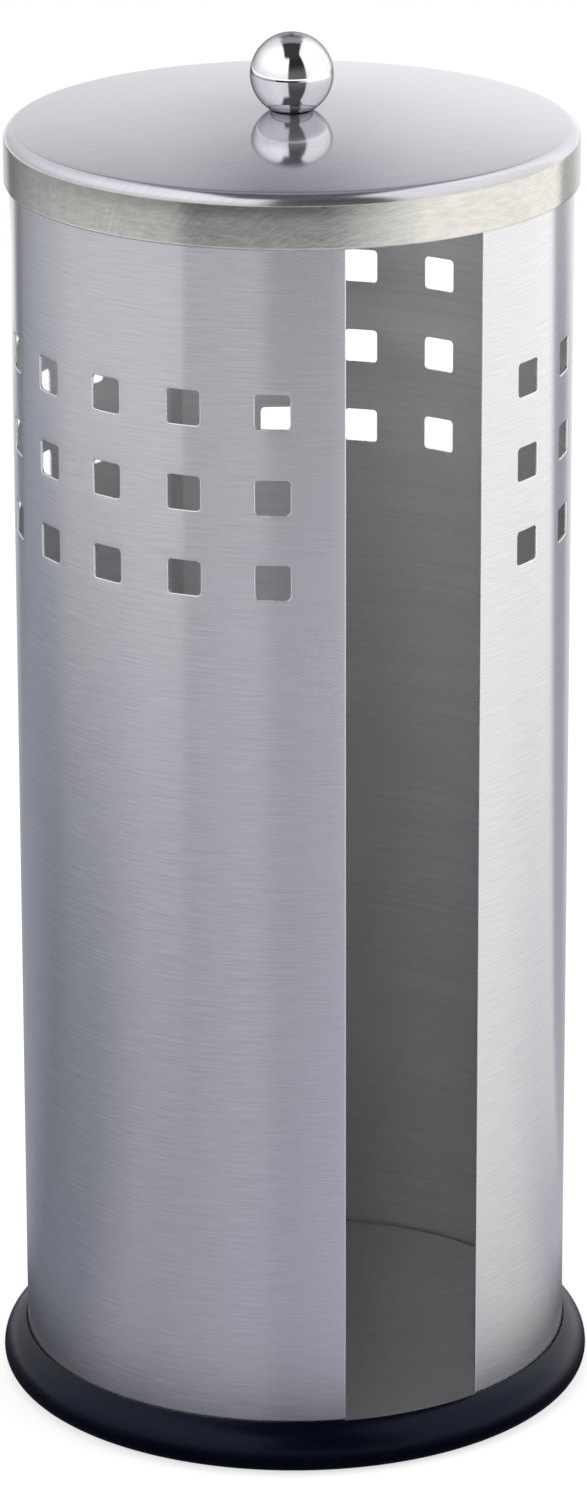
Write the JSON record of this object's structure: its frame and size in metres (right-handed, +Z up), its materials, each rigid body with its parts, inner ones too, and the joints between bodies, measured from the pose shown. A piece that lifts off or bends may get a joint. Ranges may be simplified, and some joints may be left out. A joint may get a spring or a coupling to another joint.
{
  "type": "toilet roll storage holder",
  "caption": "Free-standing steel tube that stores spare toilet rolls, with a tall front slot, rows of square holes, a lift-off domed lid with a ball knob and a plastic base ring.",
  "frame": {"origin": "middle of the base ring's underside, on the ground", "axes": "+Z up along the tube, -Y out of the middle of the slot, +X to the right seen from the front"},
  "size_m": [0.147, 0.147, 0.3419],
  "materials": {
    "base_plastic": "satin navy black moulding",
    "floor_steel": "bright rolled sheet",
    "body_steel": "brushed around the tube",
    "lid_steel": "fine straight brush lines, satin",
    "knob_chrome": "mirror bright",
    "fixing_steel": "zinc plated"
  },
  "bodies": {
    "holder": {"base_ring": "base_plastic", "floor_plate": "floor_steel", "body_shell": "body_steel"},
    "knob": {"knob_ball": "knob_chrome", "knob_screw": "fixing_steel", "knob_washer": "fixing_steel", "knob_lock_washer": "fixing_steel"},
    "lid": {"lid_shell": "lid_steel"}
  },
  "joints": [
    {"name": "lid_lift", "type": "slide", "parent": "holder", "child": "knob", "axis": [0, 0, 1], "range_m": [0, 0.16]},
    {"name": "lid_turn", "type": "hinge", "parent": "knob", "child": "lid", "pos_m": [0, 0, 0.3], "axis": [0, 0, 1], "continuous": true}
  ]
}
